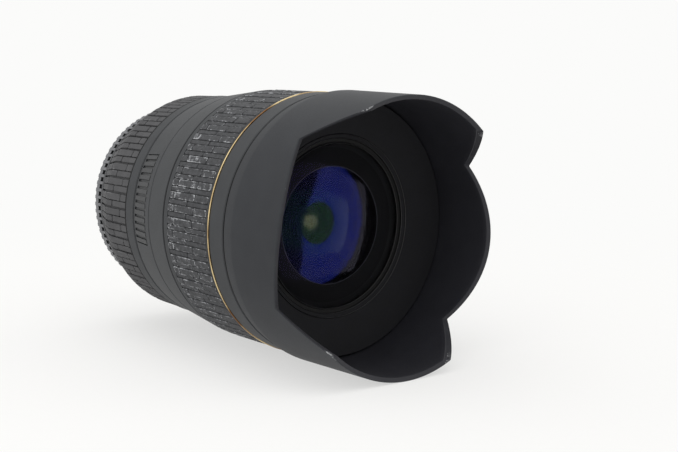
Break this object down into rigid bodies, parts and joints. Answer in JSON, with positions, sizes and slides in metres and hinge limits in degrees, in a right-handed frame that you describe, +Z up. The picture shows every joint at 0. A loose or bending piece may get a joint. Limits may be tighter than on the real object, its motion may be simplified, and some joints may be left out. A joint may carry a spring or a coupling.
{
  "type": "camera zoom lens",
  "caption": "Wide zoom lens for a camera with a fixed petal hood, rubber focus and zoom rings, an aperture ring with an iris, sliding glass groups and a bayonet mount.",
  "frame": {"origin": "centre of the mount flange's seat, on the optical axis", "axes": "+Y out of the mount towards the camera, so the front faces -Y; +Z up as the lens lies, with its top rolled 9.5 degrees towards +X"},
  "size_m": [0.087, 0.135, 0.087],
  "materials": {
    "chromed_brass": "satin chrome",
    "steel": "machined",
    "contact_plastic": "moulded",
    "gold_contact": "gold plated",
    "barrel_plastic": "fine matte texture",
    "hood_plastic": "matte with a worn rim",
    "aperture_plastic": "satin",
    "grip_rubber": "moulded rubber",
    "gold_trim": "anodised gold",
    "tube_alloy": "black anodised",
    "cell_alloy": "black anodised",
    "follower_brass": "turned",
    "glass": "coated",
    "window_acrylic": "clear",
    "board": "solder mask",
    "motor_brass": "machined",
    "iris_steel": "blackened",
    "switch_plastic": "satin"
  },
  "bodies": {
    "barrel": {"bayonet_mount": "chromed_brass", "mount_screws": "steel", "contact_block": "contact_plastic", "contact_pins": "gold_contact", "rear_barrel": "tube_alloy", "guide_tube": "tube_alloy", "tube_retainer": "tube_alloy", "scale_barrel": "barrel_plastic", "distance_window": "window_acrylic", "thumb_pad": "grip_rubber", "switch_plate": "barrel_plastic", "front_sleeve": "tube_alloy", "circuit_board": "board", "motor_stator": "motor_brass", "gold_ring": "gold_trim", "front_barrel": "barrel_plastic", "hood": "hood_plastic", "iris_plate": "iris_steel"},
    "zoom_control": {"zoom_ring": "barrel_plastic", "zoom_grip": "grip_rubber", "zoom_key": "steel", "cam_tube": "tube_alloy"},
    "zoom_group": {"zoom_cell": "cell_alloy", "zoom_element": "glass", "zoom_retainer": "cell_alloy", "zoom_followers": "follower_brass"},
    "rear_group": {"rear_cell": "cell_alloy", "rear_element": "glass", "relay_element": "glass", "rear_retainer": "cell_alloy", "rear_followers": "follower_brass"},
    "focus_control": {"focus_ring": "barrel_plastic", "focus_grip": "grip_rubber", "focus_key": "steel", "focus_tube": "tube_alloy", "motor_rotor": "steel", "distance_drum": "tube_alloy"},
    "front_group": {"front_cell": "cell_alloy", "front_element": "glass", "second_element": "glass", "front_retainer": "barrel_plastic", "front_ring": "barrel_plastic", "focus_followers": "follower_brass"},
    "aperture_control": {"aperture_ring": "aperture_plastic", "iris_lever": "steel", "iris_rotor": "iris_steel"},
    "switch": {"focus_switch": "switch_plastic"},
    "blade_1": {"iris_blade_1": "iris_steel"},
    "blade_2": {"iris_blade_2": "iris_steel"},
    "blade_3": {"iris_blade_3": "iris_steel"},
    "blade_4": {"iris_blade_4": "iris_steel"},
    "blade_5": {"iris_blade_5": "iris_steel"},
    "blade_6": {"iris_blade_6": "iris_steel"},
    "blade_7": {"iris_blade_7": "iris_steel"},
    "blade_8": {"iris_blade_8": "iris_steel"}
  },
  "joints": [
    {"name": "zoom_turn", "type": "hinge", "parent": "barrel", "child": "zoom_control", "pos_m": [0, -0.02, 0], "axis": [0, -1, 0], "range_deg": [0, 65]},
    {"name": "zoom_group_slide", "type": "slide", "parent": "barrel", "child": "zoom_group", "axis": [0, -1, 0], "range_m": [0, 0.008]},
    {"name": "rear_group_slide", "type": "slide", "parent": "barrel", "child": "rear_group", "axis": [0, -1, 0], "range_m": [0, 0.004]},
    {"name": "focus_turn", "type": "hinge", "parent": "barrel", "child": "focus_control", "pos_m": [0, -0.07, 0], "axis": [0, -1, 0], "range_deg": [0, 80]},
    {"name": "front_group_slide", "type": "slide", "parent": "barrel", "child": "front_group", "axis": [0, -1, 0], "range_m": [0, 0.004]},
    {"name": "aperture_turn", "type": "hinge", "parent": "barrel", "child": "aperture_control", "pos_m": [0, -0.003, 0], "axis": [0, -1, 0], "range_deg": [0, 36]},
    {"name": "switch_slide", "type": "slide", "parent": "barrel", "child": "switch", "axis": [0, -1, 0], "range_m": [0, 0.003]},
    {"name": "blade_1_swing", "type": "hinge", "parent": "barrel", "child": "blade_1", "pos_m": [0.01923, -0.0362, -0.00322], "axis": [0, -1, 0], "range_deg": [0, 30]},
    {"name": "blade_2_swing", "type": "hinge", "parent": "barrel", "child": "blade_2", "pos_m": [0.01588, -0.03665, 0.01132], "axis": [0, -1, 0], "range_deg": [0, 30]},
    {"name": "blade_3_swing", "type": "hinge", "parent": "barrel", "child": "blade_3", "pos_m": [0.00322, -0.0371, 0.01923], "axis": [0, -1, 0], "range_deg": [0, 30]},
    {"name": "blade_4_swing", "type": "hinge", "parent": "barrel", "child": "blade_4", "pos_m": [-0.01132, -0.03755, 0.01588], "axis": [0, -1, 0], "range_deg": [0, 30]},
    {"name": "blade_5_swing", "type": "hinge", "parent": "barrel", "child": "blade_5", "pos_m": [-0.01923, -0.038, 0.00322], "axis": [0, -1, 0], "range_deg": [0, 30]},
    {"name": "blade_6_swing", "type": "hinge", "parent": "barrel", "child": "blade_6", "pos_m": [-0.01588, -0.03845, -0.01132], "axis": [0, -1, 0], "range_deg": [0, 30]},
    {"name": "blade_7_swing", "type": "hinge", "parent": "barrel", "child": "blade_7", "pos_m": [-0.00322, -0.0389, -0.01923], "axis": [0, -1, 0], "range_deg": [0, 30]},
    {"name": "blade_8_swing", "type": "hinge", "parent": "barrel", "child": "blade_8", "pos_m": [0.01132, -0.03935, -0.01588], "axis": [0, -1, 0], "range_deg": [0, 30]}
  ],
  "couplings": [
    {"joint": "zoom_group_slide", "follows": "zoom_turn", "m_per_rad": 0.0070518},
    {"joint": "rear_group_slide", "follows": "zoom_turn", "m_per_rad": 0.0035259},
    {"joint": "front_group_slide", "follows": "focus_turn", "m_per_rad": 0.0028648},
    {"joint": "blade_1_swing", "follows": "aperture_turn", "ratio": 0.83333},
    {"joint": "blade_2_swing", "follows": "aperture_turn", "ratio": 0.83333},
    {"joint": "blade_3_swing", "follows": "aperture_turn", "ratio": 0.83333},
    {"joint": "blade_4_swing", "follows": "aperture_turn", "ratio": 0.83333},
    {"joint": "blade_5_swing", "follows": "aperture_turn", "ratio": 0.83333},
    {"joint": "blade_6_swing", "follows": "aperture_turn", "ratio": 0.83333},
    {"joint": "blade_7_swing", "follows": "aperture_turn", "ratio": 0.83333},
    {"joint": "blade_8_swing", "follows": "aperture_turn", "ratio": 0.83333}
  ]
}
